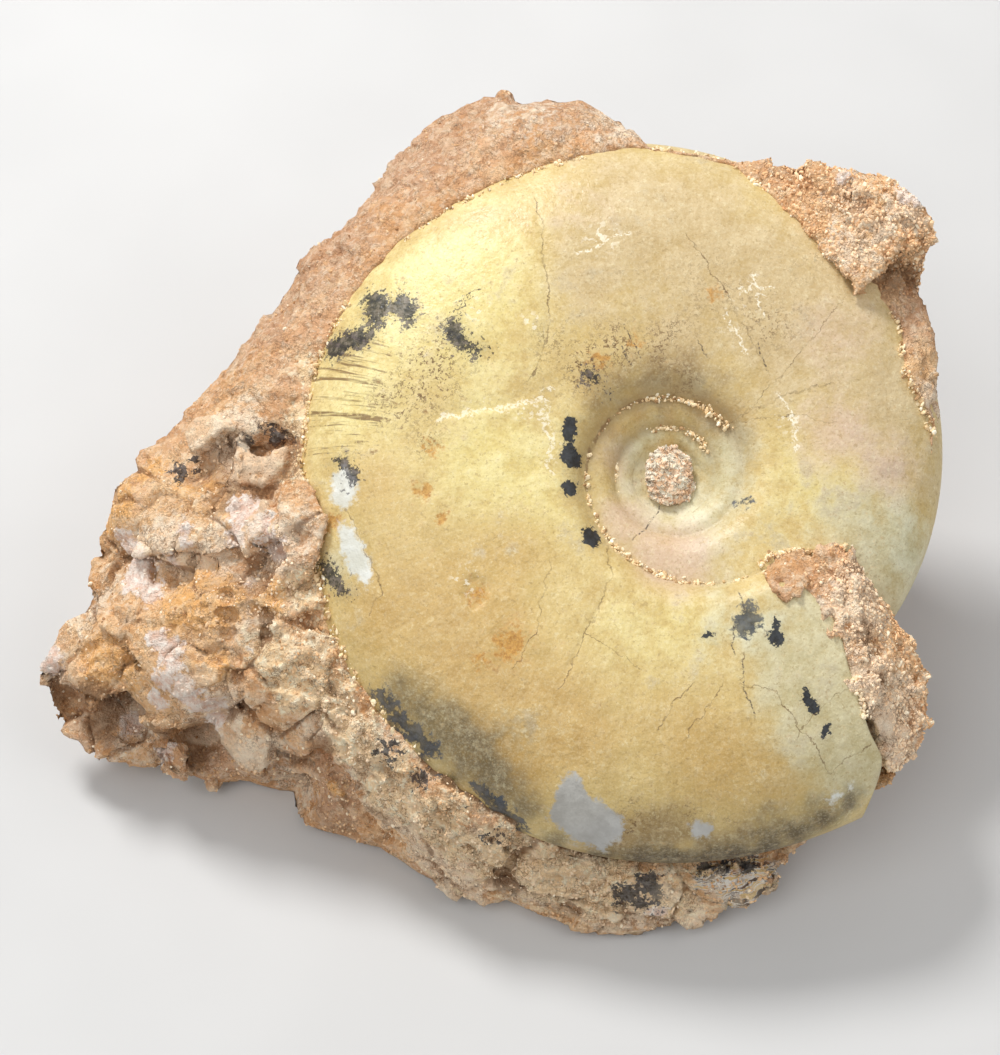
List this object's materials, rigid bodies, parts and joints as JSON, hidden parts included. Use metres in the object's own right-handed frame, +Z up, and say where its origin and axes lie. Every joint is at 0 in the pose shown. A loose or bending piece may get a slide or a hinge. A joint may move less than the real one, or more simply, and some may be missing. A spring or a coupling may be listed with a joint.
{
  "type": "fossil ammonite in matrix",
  "caption": "Smooth, tightly coiled ammonite lying half sunk in a rough block of orange limestone, with a flat base to rest on.",
  "frame": {"origin": "middle of the bounding box on the ground, which lies on the flat base of the limestone block", "axes": "+Z up, -Y towards the low front edge that the shell faces, +X to the shell's mouth side, which is the block's longest way"},
  "size_m": [0.1596, 0.1328, 0.0774],
  "materials": {
    "shell_stone": "smooth, softly polished fossil calcite, yellow to olive, with black mineral stains",
    "limestone": "rough, granular orange-pink nodular limestone",
    "sediment": "rough crumbly sediment"
  },
  "bodies": {
    "root": {"ammonite": "shell_stone", "matrix": "limestone", "umbilicus_fill": "sediment"}
  },
  "joints": []
}
